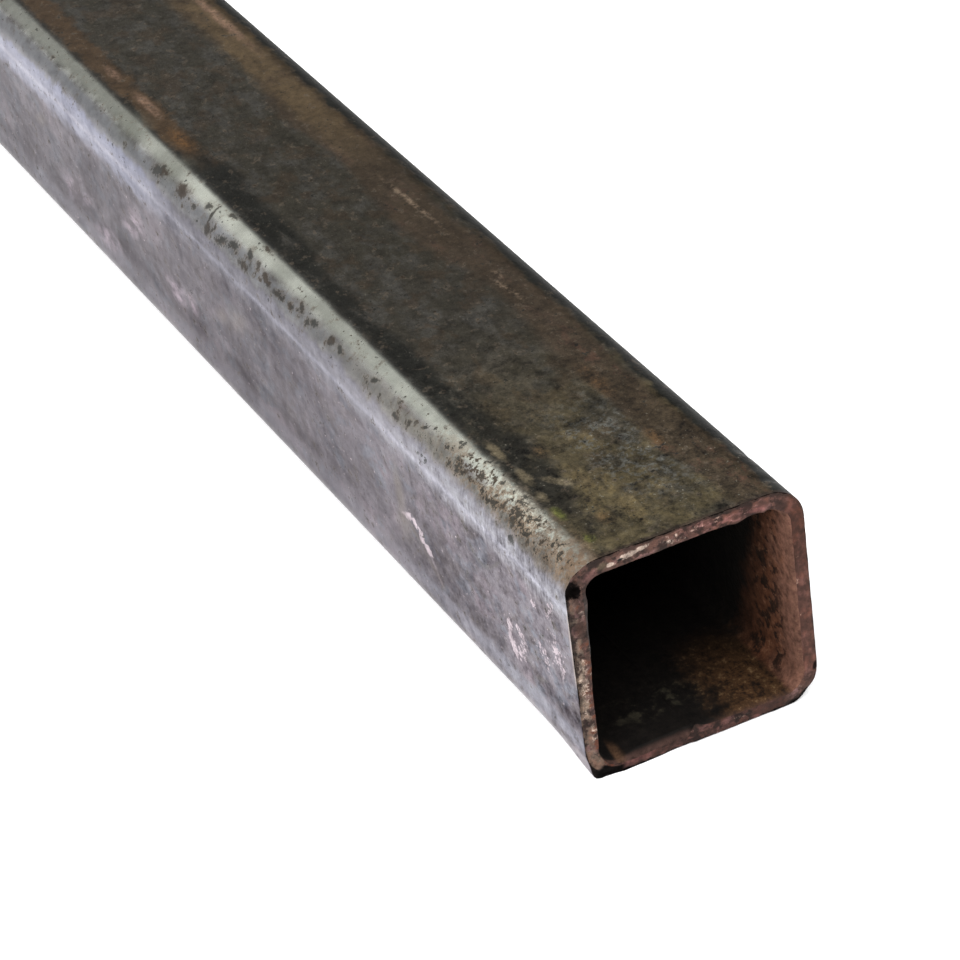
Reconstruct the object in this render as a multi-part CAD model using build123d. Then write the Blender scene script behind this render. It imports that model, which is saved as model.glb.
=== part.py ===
from build123d import *

import math
import os

# Square steel tube: one length of cold-formed, seam-welded hollow section, lying on its seam side.
#
# A flat strip is rolled into a tube, its two edges are welded together, and the tube is then rolled square.
# That leaves four flat walls joined by bent corners, and a seam along the middle of the bottom wall. The seam's
# flash is planed off outside and stays inside as a low bead. One end is sawn by hand, a little out of square,
# with its outer edge broken all round. The other end is square.
#
# Frame: X runs along the tube, from the square end at -X to the sawn end at +X. Y runs across it and Z up.
# The origin is under the middle of the tube, on the surface that the bottom wall rests on.
# Lengths are in millimetres and angles in degrees.

# Section
WIDTH = 40.0  # across the flats, the same both ways
WALL = 3.0
BEND_RADIUS = 3.0  # inside of a bent corner: the wall keeps its thickness round the bend

# Length, to the foremost point of the sawn end
LENGTH = 1000.0

# Seam bead inside the bottom wall. The strip's -Y edge lies a little deeper, so that flank is the steep one.
BEAD_OFFSET = -1.6  # the crest's place across the wall, from the wall's middle
BEAD_HEIGHT = 0.4
BEAD_STEEP_FLANK = 0.5  # from the crest to the flank's foot, towards -Y
BEAD_GENTLE_FLANK = 2.2  # from the crest to the flank's foot, towards +Y

# Sawn end
CUT_SKEW = 1.8  # the +Y side reaches further than the -Y side
CUT_LEAN = 1.2  # the top reaches further than the bottom
EDGE_BREAK = 0.3  # bevel along the outer edge of the cut


def rounded_square(width, radius):
    """A square with rounded corners, standing on the section plane about the tube's axis."""
    return Pos(0, WIDTH / 2) * RectangleRounded(width, width, radius)


def bead_profile():
    """The bead's cross-section: two arcs that fall from a level crest to the bottom wall's inner face."""
    crest = (BEAD_OFFSET, WALL + BEAD_HEIGHT)
    steep_foot = (BEAD_OFFSET - BEAD_STEEP_FLANK, WALL)
    gentle_foot = (BEAD_OFFSET + BEAD_GENTLE_FLANK, WALL)
    steep_flank = TangentArc(crest, steep_foot, tangent=(-1, 0))
    gentle_flank = TangentArc(crest, gentle_foot, tangent=(1, 0))
    return make_face([steep_flank, gentle_flank, Line(steep_foot, gentle_foot)])


def section():
    """The tube's cross-section, drawn with Y across and Z up."""
    outside = rounded_square(WIDTH, BEND_RADIUS + WALL)
    bore = rounded_square(WIDTH - 2 * WALL, BEND_RADIUS)
    return outside - (bore - bead_profile())


def saw_plane():
    """The plane of the saw cut. It faces away from the tube and puts the cut's foremost point at half the length."""
    skew = math.tan(math.radians(CUT_SKEW))
    lean = math.tan(math.radians(CUT_LEAN))
    # The foremost point lies on the upper +Y corner, where the corner's arc faces the way the cut slopes.
    slope = math.hypot(skew, lean)
    arc_radius = BEND_RADIUS + WALL - EDGE_BREAK
    arc_centre = WIDTH / 2 - BEND_RADIUS - WALL
    foremost_y = arc_centre + arc_radius * skew / slope
    foremost_z = WIDTH / 2 + arc_centre + arc_radius * lean / slope
    return Plane(origin=(LENGTH / 2, foremost_y, foremost_z), z_dir=(1, -skew, -lean))


def square_tube():
    """The section run along the tube's length, sawn off at +X, with the cut's outer edge broken."""
    bar = extrude(Plane.YZ.offset(-LENGTH / 2) * section(), LENGTH)
    sawn = split(bar, bisect_by=saw_plane(), keep=Keep.BOTTOM)
    cut_face = sawn.faces().sort_by(Axis.X)[-1]
    return sawn.chamfer(EDGE_BREAK, None, cut_face.outer_wire().edges())


def main():
    os.makedirs("parts", exist_ok=True)
    export_step(square_tube(), "parts/square_tube.step")


main()
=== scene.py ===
import math

import bpy
import numpy as np
from mathutils import Matrix, Vector, noise


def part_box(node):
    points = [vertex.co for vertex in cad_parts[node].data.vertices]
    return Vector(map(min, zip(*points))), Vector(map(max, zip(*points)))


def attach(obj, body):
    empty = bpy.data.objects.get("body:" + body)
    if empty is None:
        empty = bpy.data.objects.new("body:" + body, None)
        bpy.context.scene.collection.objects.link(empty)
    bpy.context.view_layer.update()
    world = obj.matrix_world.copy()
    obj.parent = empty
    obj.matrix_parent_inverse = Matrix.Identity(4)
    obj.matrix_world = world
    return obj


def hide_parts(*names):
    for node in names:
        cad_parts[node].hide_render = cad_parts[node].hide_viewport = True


# A rusty length of square steel tube on a white floor, in the part's own frame: X runs along the tube to
# its sawn end, Y across it and Z up, with the floor at Z 0. Blender's own lengths are metres. Everything
# about the tube's skin is in millimetres, and is turned into metres only where the mesh is made.
#
# Places on the skin are given unrolled. "along" is the distance back from the saw cut, and "girth" the
# distance round the outside from the weld seam underneath: up the +Y side, over the top, down the -Y side.

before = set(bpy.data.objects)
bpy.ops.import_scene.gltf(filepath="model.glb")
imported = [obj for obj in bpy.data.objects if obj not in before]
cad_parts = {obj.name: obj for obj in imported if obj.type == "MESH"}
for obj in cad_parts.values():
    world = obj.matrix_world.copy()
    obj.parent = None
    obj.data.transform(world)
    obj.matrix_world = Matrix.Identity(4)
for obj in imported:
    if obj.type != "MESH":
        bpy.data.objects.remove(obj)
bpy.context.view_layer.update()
METRE = 1000.0
LOW, HIGH = (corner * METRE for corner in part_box("square_tube"))
LENGTH = HIGH.x - LOW.x
WIDTH = HIGH.y - LOW.y
MIDDLE_Z = (LOW.z + HIGH.z) / 2

# Section
WALL = 3.0
BORE_RADIUS = 3.0
SKIN_RADIUS = BORE_RADIUS + WALL
ARC_CENTRE = WIDTH / 2 - SKIN_RADIUS  # from the tube's axis to each corner arc's centre, in Y and in Z
FLAT = 2 * ARC_CENTRE
ARC = SKIN_RADIUS * math.pi / 2

# Weld seam, under the tube, and the bead that stands over it in the bore
SEAM_Y = -1.6
BEAD_HEIGHT = 0.4
BEAD_STEEP_FLANK = 0.5
BEAD_GENTLE_FLANK = 2.2

# Saw cut
CUT_SKEW = 1.8  # degrees off square, seen from above
CUT_LEAN = 1.2  # degrees off square, seen from the side
EDGE_BREAK = 0.1  # what the saw left of the part's own edge break

# Mesh
FLAT_STEPS = 46
BOTTOM_STEPS = 56
CORNER_STEPS = 14
CUT_STEPS = 13
FINE_STEP = 0.5  # between rings of the skin near the cut
FINE_REACH = 70.0
COARSER = 1.025
SHARP_ANGLE = 38
INSIDE = 0.01  # how far the skin stays inside the part's own sides


def put(name, data):
    """A new object in the scene."""
    made = bpy.data.objects.new(name, data)
    bpy.context.scene.collection.objects.link(made)
    return made


# -------- places on the skin
def far_side(height):
    """The +Y side, at this height above the floor."""
    return (ARC_CENTRE - SEAM_Y) + ARC + (height - SKIN_RADIUS)


def top(y):
    """The top, at this Y."""
    return far_side(WIDTH - SKIN_RADIUS) + ARC + (ARC_CENTRE - y)


def far_corner(degrees):
    """The corner between the +Y side and the top: 0 faces +Y and 90 faces up."""
    return top(ARC_CENTRE) - SKIN_RADIUS * math.radians(90 - degrees)


def near_corner(degrees):
    """The corner between the top and the -Y side: 90 faces up and 180 faces -Y."""
    return top(-ARC_CENTRE) + SKIN_RADIUS * math.radians(degrees - 90)


def near_side(height):
    """The -Y side, at this height above the floor."""
    return near_corner(180) + (WIDTH - SKIN_RADIUS - height)


def low_near_corner(degrees):
    """The corner under the -Y side: 180 faces -Y and 270 faces down."""
    return near_side(SKIN_RADIUS) + SKIN_RADIUS * math.radians(degrees - 180)


def low_far_corner(degrees):
    """The corner under the +Y side: 270 faces down and 360 faces +Y."""
    return (ARC_CENTRE - SEAM_Y) + SKIN_RADIUS * math.radians(degrees - 270)


GIRTH = low_near_corner(270) + (SEAM_Y + ARC_CENTRE)


# -------- mesh of the tube
def section_points():
    """Points round the section, from the seam, counter-clockwise seen from +X.

    Returns the centre that each is measured from, its outward normal and its girth. The point at depth w
    under the skin is centre + (SKIN_RADIUS - w) * normal.
    """
    seam_steps = round(BOTTOM_STEPS * (ARC_CENTRE - SEAM_Y) / FLAT)
    sides = [
        (270, SEAM_Y, ARC_CENTRE, seam_steps),
        (0, -ARC_CENTRE, ARC_CENTRE, FLAT_STEPS),
        (90, -ARC_CENTRE, ARC_CENTRE, FLAT_STEPS),
        (180, -ARC_CENTRE, ARC_CENTRE, FLAT_STEPS),
        (270, -ARC_CENTRE, SEAM_Y, BOTTOM_STEPS - seam_steps),
    ]
    centres, normals, girths = [], [], []
    girth = 0.0
    for number, (facing, start, stop, steps) in enumerate(sides):
        out = Vector((math.cos(math.radians(facing)), math.sin(math.radians(facing))))
        ahead = Vector((-out.y, out.x))
        for step in range(steps):
            place = (stop - start) * step / steps
            centres.append(out * ARC_CENTRE + ahead * (start + place))
            normals.append(out)
            girths.append(girth + place)
        girth += stop - start
        if number == len(sides) - 1:
            break
        for step in range(CORNER_STEPS):
            turn = math.radians(facing) + math.pi / 2 * step / CORNER_STEPS
            centres.append((out + ahead) * ARC_CENTRE)
            normals.append(Vector((math.cos(turn), math.sin(turn))))
            girths.append(girth + ARC * step / CORNER_STEPS)
        girth += ARC
    return np.array(centres), np.array(normals), np.array(girths)


def graded(start, stop, first, growth, even=0.0):
    """Distances from start to stop: even steps as far as even, then each step longer than the last."""
    places, step = [start], first
    while places[-1] + 1.5 * step < stop:
        places.append(places[-1] + step)
        if places[-1] > even:
            step *= growth
    return places + [stop]


def stations():
    """The path that the section follows, as (along, depth): up the skin, over the cut, back inside."""
    skin = [(along, 0) for along in graded(EDGE_BREAK, LENGTH - 0.1, FINE_STEP, COARSER, FINE_REACH)]
    cut = [(0, depth) for depth in np.linspace(EDGE_BREAK, WALL - 0.15, CUT_STEPS)]
    bore = [(along, WALL) for along in graded(0.08, LENGTH - 0.1, 0.15, 1.08)]
    far_end = [(LENGTH, depth) for depth in np.linspace(WALL - 0.1, 0.1, 5)]
    parts = [("skin", skin[::-1]), ("cut", cut), ("bore", bore), ("far_end", far_end)]
    path = [place for _, places in parts for place in places]
    zones = [name for name, places in parts for _ in places]
    return np.array(path), np.array(zones)


def smooth(low, high, value):
    """0 at low, 1 at high, and a smooth rise or fall between."""
    share = np.clip((value - low) / (high - low), 0, 1)
    return share * share * (3 - 2 * share)


def hump(value, centre, reach):
    return np.exp(-(((value - centre) / reach) ** 2))


def lumps(points, size, seed, octaves=2):
    """Smooth noise, about -1 to 1, with lumps of this size."""
    shift = Vector((seed * 13.1, seed * 7.7, seed * 3.3))
    return np.array([noise.fractal(Vector(point) / size + shift, 0.6, 2.1, octaves) for point in points])


def skin_relief(along, girth, y, flat_points):
    """How far the skin lies under the ideal outside: rolling marks, knocked corners and dents."""
    stretched = flat_points * np.array([0.2, 1, 1])
    sink = 0.03 + 0.02 * lumps(stretched, 9.0, 1) + 0.006 * lumps(flat_points, 1.6, 2)
    # Near the cut the bottom rises a little towards the +Y side.
    under = np.abs(girth - GIRTH * np.round(girth / GIRTH))
    near = smooth(90, 10, along)
    rise = 0.14 * smooth(-14, -2, y)
    sink += rise * smooth(low_far_corner(288), low_far_corner(274), under) * near
    # The corner there is knocked flat, and the saw's burr pushed the other lower corner out.
    sink += 0.15 * hump(girth, low_far_corner(313), 1.0) * hump(along, 0, 16)
    sink -= 1.35 * hump(girth, low_near_corner(232), 1.9) * hump(along, 0, 11)
    # Dents on the far top corner.
    for place, degrees, deep, size in ((4.7, 56, 0.2, 0.8), (8.5, 66, 0.1, 1.0), (14.5, 42, 0.25, 1.0)):
        sink += deep * hump(along, place, size) * hump(girth, far_corner(degrees), 1.6)
    # Pits on the near top corner.
    for place, degrees, deep, size in CORNER_PITS:
        sink += deep * hump(along, place, size) * hump(girth, near_corner(degrees), 0.6 * size)
    return sink


CORNER_PITS = (
    (18.0, 165, 0.12, 1.2),
    (58.5, 152, 0.06, 0.9),
    (83.0, 138, 0.05, 0.8),
    (98.5, 126, 0.08, 0.8),
    (135.3, 153, 0.12, 1.0),
    (150.5, 142, 0.08, 1.3),
    (156.8, 137, 0.08, 1.2),
)

# How much of the wall is missing at the bore's edge, as (girth, missing). Less than nothing is a burr.
WORN_EDGE = (
    (0.0, 0.0), (low_far_corner(290), 0.3), (far_side(8), 0.1), (far_side(34), 0.1),
    (far_corner(45), -0.4), (top(13.8), 0.1), (top(13.2), -0.2), (top(12.6), 0.3),
    (top(10.8), 0.3), (top(8.7), -0.15), (top(7.5), 0.15), (top(2.5), 0.3), (top(-6), 0.1),
    (top(-13), 0.1), (near_corner(150), -0.1), (near_side(33), -0.45), (near_side(29), -0.05),
    (near_side(23), 0.1), (near_side(17), 0.55), (near_side(8), 0.6),
    (low_near_corner(220), 1.1), (low_near_corner(235), 1.3), (low_near_corner(270), 1.2),
    (low_near_corner(270) + 3.0, 0.2), (GIRTH, 0.0),
)
# The same for the chamfer that was broken off inside it.
CHIPPED_EDGE = (
    (0.0, 0.0), (1.5, 0.3), (9.0, 0.5), (low_far_corner(290), 0.3), (far_side(6), 0.0),
    (far_corner(60), 0.0), (low_near_corner(262), 0.0), (low_near_corner(270) + 2.5, 1.3),
    (GIRTH - 4.0, 1.5), (GIRTH - 1.1, 1.8), (GIRTH - 0.2, 0.0), (GIRTH, 0.0),
)
# The radius that the edge was rounded to.
ROUNDED_EDGE = (
    (0.0, 0.3), (low_far_corner(270), 0.5), (far_side(6), 1.0), (far_side(34), 1.0),
    (far_corner(70), 0.4), (top(10), 0.15), (GIRTH, 0.15),
)


def profile(girth, points):
    return np.interp(girth, *zip(*points))


def bore_relief(along, girth, flat_points):
    """How far the bore's wall is cut away towards the skin, near its torn edge."""
    away = profile(girth, WORN_EDGE) * np.exp(-along / 4.0)
    away += profile(girth, CHIPPED_EDGE) * np.clip(1 - along / 0.9, 0, 1)
    radius = profile(girth, ROUNDED_EDGE)
    away += radius - np.sqrt(np.maximum(radius**2 - np.maximum(radius - along, 0) ** 2, 0))
    away += 0.08 * lumps(flat_points, 1.7, 3) * np.exp(-along / 1.2)
    away += 0.03 * lumps(flat_points, 2.5, 4) * smooth(40, 10, along)
    return away


def cut_relief(depth, y, z, girth, flat_points):
    """How far the sawn face lies behind the saw's plane."""
    back = 0.05 + 0.04 * lumps(flat_points, 0.9, 5, 3) + 0.06 * lumps(flat_points, 3.0, 6)
    # On one side of the seam the face is set back, in a small step that dies away towards the corner.
    back += 0.25 * smooth(SEAM_Y - 0.2, SEAM_Y - 0.9, y) * smooth(-10, -4, y) * smooth(-12, -14, z)
    # Corners that were knocked or torn at the outer edge.
    back += 0.4 * np.clip(1 - depth / 1.2, 0, 1) * hump(girth, low_near_corner(242), 1.8)
    back += 0.25 * np.clip(1 - depth / 0.9, 0, 1) * hump(girth, low_far_corner(313), 1.2)
    back += 0.5 * smooth(2.0, 1.4, depth) * hump(girth, near_corner(160), 1.2)
    back += 0.3 * smooth(1.0, 0.6, depth) * hump(girth, near_corner(138), 1.1)
    # A pit in the top wall's face.
    back += 0.4 * hump(depth, 1.9, 0.25) * hump(girth, top(-10.6), 0.35)
    return np.maximum(back, 0)


def build_tube():
    centres, normals, girths = section_points()
    path, zones = stations()
    count, rings = len(girths), len(path)
    along, depth = np.repeat(path, count, axis=0).T
    girth = np.tile(girths, rings)
    centre, normal = np.tile(centres, (rings, 1)), np.tile(normals, (rings, 1))

    flat_points = np.column_stack([-along, centre + normal * (SKIN_RADIUS - depth)[:, None]])
    y, z = flat_points[:, 1], flat_points[:, 2]

    bead_flank = np.where(y < SEAM_Y, BEAD_STEEP_FLANK, BEAD_GENTLE_FLANK)
    bead = BEAD_HEIGHT * np.clip(1 - ((y - SEAM_Y) / bead_flank) ** 2, 0, 1) * (normal[:, 1] < -0.999)
    outer = skin_relief(along, girth, y, flat_points)
    inner = WALL + bead - bore_relief(along, girth, flat_points)
    share = depth / WALL
    depth = outer * (1 - share) + inner * share

    section = centre + normal * (SKIN_RADIUS - depth)[:, None]
    y, z = np.clip(section, -WIDTH / 2 + INSIDE, WIDTH / 2 - INSIDE).T
    skew, lean = math.tan(math.radians(CUT_SKEW)), math.tan(math.radians(CUT_LEAN))
    slope = math.hypot(skew, lean)
    foremost = [ARC_CENTRE + (SKIN_RADIUS - EDGE_BREAK) * part / slope for part in (skew, lean)]
    behind = skew * (foremost[0] - y) + lean * (foremost[1] - z)
    near_cut = hump(along, 0, 1.2)
    behind += cut_relief(depth, y, z, girth, flat_points) * near_cut
    x = HIGH.x - along - behind * (1 - along / LENGTH)
    points = np.column_stack([x, y, z + MIDDLE_Z]) / METRE

    ring, step = np.divmod(np.arange(rings * count), count)
    next_ring, next_step = (ring + 1) % rings, (step + 1) % count
    faces = np.column_stack([ring * count + step, ring * count + next_step,
                             next_ring * count + next_step, next_ring * count + step])
    mesh = bpy.data.meshes.new("square_tube_skin")
    mesh.from_pydata(points.tolist(), [], faces.tolist())

    next_girth = np.append(girths[1:], GIRTH)[step]
    here, there = path[ring, 0], path[next_ring, 0]
    corners = [(here, girths[step]), (here, next_girth), (there, next_girth), (there, girths[step])]
    unrolled = np.stack([np.column_stack(corner) for corner in corners], axis=1)
    mesh.uv_layers.new(name="skin").data.foreach_set("uv", unrolled.astype(np.float32).ravel())
    told = mesh.attributes.new("depth", "FLOAT", "POINT")
    told.data.foreach_set("value", depth.astype(np.float32))

    material_of = {"skin": 0, "cut": 1, "bore": 2, "far_end": 1}
    slots = np.array([material_of[name] for name in zones])
    pair = np.stack([slots, np.roll(slots, -1)])
    face_slots = np.where(pair[0] == pair[1], pair[0], 1)  # the edges between zones are sawn steel too
    mesh.polygons.foreach_set("material_index", np.repeat(face_slots, count).astype(np.int32))
    mesh.shade_smooth()
    mesh.set_sharp_from_angle(angle=math.radians(SHARP_ANGLE))
    return put("square_tube_skin", mesh)


# -------- materials
class Surface:
    """A material with one Principled shader, and short names for the nodes that feed it, in millimetres."""

    def __init__(self, name, color, metallic, roughness, specular):
        self.material = bpy.data.materials.new(name)
        self.material.use_nodes = True
        self.tree = self.material.node_tree
        self.shader = self.tree.nodes["Principled BSDF"]
        self.shader.inputs["Specular IOR Level"].default_value = specular
        self.color, self.metallic, self.roughness = color, metallic, roughness
        self.height = None
        self.edge = None  # tint of a metal's reflections at a grazing angle
        self.skin = self.node("ShaderNodeUVMap", uv_map="skin").outputs["UV"]
        self.along, self.girth = self.split(self.skin)[:2]
        place = self.node("ShaderNodeTexCoord").outputs["Object"]
        self.place = self.stretched(place, METRE, METRE, METRE)

    def node(self, kind, values=(), **settings):
        made = self.tree.nodes.new(kind)
        for name, value in settings.items():
            setattr(made, name, value)
        for socket, value in dict(values).items():
            self.feed(made.inputs[socket], value)
        return made

    def feed(self, socket, value):
        if isinstance(value, bpy.types.NodeSocket):
            self.tree.links.new(value, socket)
        elif socket.type == "RGBA":
            socket.default_value = (*value, 1)
        elif socket.type == "VECTOR" and not isinstance(value, float):
            socket.default_value = tuple(value)
        else:
            socket.default_value = value

    def depth(self):
        """How far under the skin a point lies, which the mesh says."""
        return self.node("ShaderNodeAttribute", attribute_name="depth").outputs["Fac"]

    def split(self, vector):
        return self.node("ShaderNodeSeparateXYZ", {0: vector}).outputs

    def math(self, operation, *values):
        return self.node("ShaderNodeMath", dict(enumerate(values)), operation=operation).outputs[0]

    def add(self, a, b):
        return self.math("ADD", a, b)

    def times(self, a, b):
        return self.math("MULTIPLY", a, b)

    def both(self, *masks):
        result = masks[0]
        for mask in masks[1:]:
            result = self.times(result, mask)
        return result

    def either(self, *masks):
        result = masks[0]
        for mask in masks[1:]:
            result = self.math("MAXIMUM", result, mask)
        return result

    def flat(self, x, y):
        return self.node("ShaderNodeCombineXYZ", {"X": x, "Y": y}).outputs[0]

    def vectors(self, operation, a, b):
        return self.node("ShaderNodeVectorMath", {0: a, 1: b}, operation=operation).outputs

    def moved(self, vector, by):
        return self.vectors("ADD", vector, by)[0]

    def stretched(self, vector, *factors):
        return self.vectors("MULTIPLY", vector, factors)[0]

    def dot(self, vector, axis):
        return self.vectors("DOT_PRODUCT", vector, axis)["Value"]

    def lumps(self, vector, size, detail=2.0, roughness=0.5, shift=0.0):
        """Noise from 0 to 1 about 0.5, with lumps of about this size."""
        if shift:
            vector = self.moved(vector, (shift, 2 * shift, -shift))
        values = {"Vector": vector, "Scale": 1 / size, "Detail": detail, "Roughness": roughness}
        return self.node("ShaderNodeTexNoise", values).outputs["Fac"]

    def rise(self, value, low, high, first=0.0, last=1.0):
        """first at low, last at high; low may be more than high."""
        values = {"Value": value, "From Min": low, "From Max": high, "To Min": first, "To Max": last}
        return self.node("ShaderNodeMapRange", values, interpolation_type="SMOOTHSTEP").outputs["Result"]

    def shifted(self, value, noise, amount):
        """The value, pushed to and fro by noise so that an edge at it isn't a ruled line."""
        return self.add(value, self.times(self.add(noise, -0.5), amount))

    def shade(self, noise, amount):
        """Lighter where the noise is over its middle value, darker where it is under it."""
        factor = self.math("MAXIMUM", self.add(1.0, self.times(self.add(noise, -0.5), amount)), 0.15)
        self.dim(factor)

    def scaled(self, color, factor):
        """The color times the factor, as a mix with black that may also overshoot and brighten."""
        return self.mixed(self.math("SUBTRACT", 1.0, factor), color, (0, 0, 0), clamp=False)

    def dim(self, factor):
        self.color = self.scaled(self.color, factor)
        if self.edge is not None:
            self.edge = self.scaled(self.edge, self.add(self.times(factor, 0.7), 0.3))

    def band(self, value, low, high, soft):
        past_low = self.rise(value, low - soft, low + soft)
        return self.times(past_low, self.rise(value, high + soft, high - soft))

    def strip(self, value, at, low, high, soft):
        """A band between two places that at, such as top, gives."""
        return self.band(value, at(low), at(high), soft)

    def tame(self, mask, factor):
        """1 outside the mask and this factor inside it."""
        return self.mixed(mask, 1.0, factor)

    def course(self, value, start, *stops):
        """A factor that goes smoothly from stop to stop, each (value, factor)."""
        (place, factor), result = start, start[1]
        for next_place, next_factor in stops:
            result = self.add(result, self.rise(value, place, next_place, 0.0, next_factor - factor))
            place, factor = next_place, next_factor
        return result

    def tone(self, mask, factor):
        """Dimmer or lighter by this factor inside the mask."""
        self.dim(self.tame(mask, factor))

    def warped(self, amount, size, shift):
        """The unrolled skin with its places shifted a little, so that edges aren't ruled lines."""
        noises = [self.lumps(self.place, size, 3.0, 0.6, shift + 10 * turn) for turn in (0, 1)]
        moves = [self.times(self.add(noise, -0.5), 2 * amount) for noise in noises]
        return self.moved(self.skin, self.flat(*moves))

    def nearest(self, skin, places):
        """How far the nearest oval is, where 1 is its rim.

        Each oval is (along, girth, length, width) with a turn in degrees after them if it has one.
        """
        nearest = None
        for along, girth, length, width, *turned in places:
            turn = math.radians(sum(turned))
            lengthways = Vector((math.cos(turn), math.sin(turn), 0)) * 2 / length
            across = Vector((-math.sin(turn), math.cos(turn), 0)) * 2 / width
            centre = Vector((along, girth, 0))
            local = [self.add(self.dot(skin, axis), -centre.dot(axis)) for axis in (lengthways, across)]
            reach = self.math("MULTIPLY_ADD", local[0], local[0], self.times(local[1], local[1]))
            nearest = reach if nearest is None else self.math("MINIMUM", nearest, reach)
        return self.math("SQRT", nearest)

    def spots(self, skin, places, soft):
        """A mask of ovals with soft rims."""
        return self.rise(self.nearest(skin, places), 1 + soft, 1 - soft)

    def tint(self, mask, color):
        self.color = self.mixed(mask, self.color, color, "MULTIPLY")

    def mixed(self, mask, under, over, blend="MIX", clamp=True):
        kind = "RGBA" if isinstance(over, tuple) or getattr(over, "type", "") == "RGBA" else "FLOAT"
        mix = self.node("ShaderNodeMix", data_type=kind, blend_type=blend, clamp_factor=clamp)
        inputs = [socket for socket in mix.inputs if socket.enabled]
        for socket, value in zip(inputs, (mask, under, over)):
            self.feed(socket, value)
        return [socket for socket in mix.outputs if socket.enabled][0]

    def coat(self, mask, color, metallic=None, roughness=None):
        self.color = self.mixed(mask, self.color, color)
        if metallic is not None:
            self.metallic = self.mixed(mask, self.metallic, float(metallic))
        if roughness is not None:
            self.roughness = self.mixed(mask, self.roughness, float(roughness))

    def raise_by(self, height, share):
        """Adds to the relief, in millimetres."""
        amount = self.times(height, share)
        self.height = amount if self.height is None else self.add(self.height, amount)

    def finish(self):
        self.feed(self.shader.inputs["Base Color"], self.color)
        self.feed(self.shader.inputs["Metallic"], self.metallic)
        self.feed(self.shader.inputs["Roughness"], self.roughness)
        if self.edge is not None:
            self.feed(self.shader.inputs["Specular Tint"], self.edge)
        if self.height is not None:
            values = {"Height": self.height, "Distance": 1 / METRE, "Strength": 1.0}
            self.feed(self.shader.inputs["Normal"], self.node("ShaderNodeBump", values).outputs[0])
        return self.material


# The outside: its scale, then the top, the near top corner and the -Y side
SCALE_GREY = (0.0923, 0.0784, 0.0935)
SCALE_MAUVE = (0.1095, 0.0815, 0.0997)
SCALE_BLUE = (0.08, 0.085, 0.109)
SCALE_WARM = (0.0985, 0.0815, 0.0862)
SCALE_EDGE = (1.0, 0.975, 1.0)
HIGHLIGHT_GREEN = (0.1789, 0.186, 0.1621)
SCALE_SIDE = (0.1491, 0.1429, 0.1269)
RUBBED = (0.2538, 0.2538, 0.2962)
PINK_BLOOM = (0.41, 0.345, 0.37)
SHEEN = (0.168, 0.168, 0.199)
SHOULDER = (0.15, 0.148, 0.168)
COOL_SHOULDER = (0.158, 0.166, 0.212)
COOL_FLANK = (0.128, 0.132, 0.138)
HIDDEN_GREY = (0.088, 0.081, 0.078)
HIDDEN_RUST = (0.05, 0.026, 0.014)
HIDDEN_ORANGE = (0.095, 0.042, 0.016)
SCARFED = (0.135, 0.122, 0.118)
SEAM_RUST = (0.036, 0.019, 0.011)

DARK_TOP = (0.0184, 0.0162, 0.0102)
GREY_TOP = (0.0285, 0.0268, 0.0228)
OLIVE_TOP = (0.0462, 0.0354, 0.0148)
SHADE_GREEN_BLACK = (0.0046, 0.0048, 0.0031)
BROWN_RUST = (0.0221, 0.014, 0.0068)
RED_RUST = (0.0371, 0.0132, 0.0068)
ORANGE_RUST = (0.0962, 0.0423, 0.0092)
GOLDEN_RUST = (0.05, 0.033, 0.015)
OCHRE = (0.0654, 0.0446, 0.0138)
TAN_DUST = (0.1231, 0.0885, 0.06)
FROST = (0.0731, 0.0754, 0.0692)
MOSS = (0.0577, 0.0654, 0.0092)
RIM_BROWN = (0.031, 0.017, 0.006)
CUT_EDGE = (0.016, 0.009, 0.005)
PALE_CRUMBS = (0.125, 0.115, 0.09)
LENS_OLIVE = (0.066, 0.053, 0.031)
SALMON = (0.125, 0.076, 0.05)

BEIGE = (0.1115, 0.0754, 0.0477)
PIT_BROWN = (0.026, 0.018, 0.011)
PIT_GREEN = (0.017, 0.018, 0.015)
PIT_AND_SHADE_BLACK = (0.0045, 0.0036, 0.0034)
BLOTCH_HALO = (0.08, 0.062, 0.044)
BLOT_HALO = (0.085, 0.072, 0.056)
DIM_HIGHLIGHT_GREEN = (0.105, 0.11, 0.09)
STAIN_TAN = (0.135, 0.094, 0.06)
BRIGHT_SPECKS = (0.42, 0.42, 0.35)

SCRATCH_BROWN = (0.058, 0.043, 0.035)
PALE_STREAKS = (0.4, 0.36, 0.39)
STAIN_BROWN = (0.078, 0.06, 0.05)
BLUSH = (0.25, 0.2, 0.23)
BRIGHT_EDGE = (0.45, 0.38, 0.33)


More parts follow.
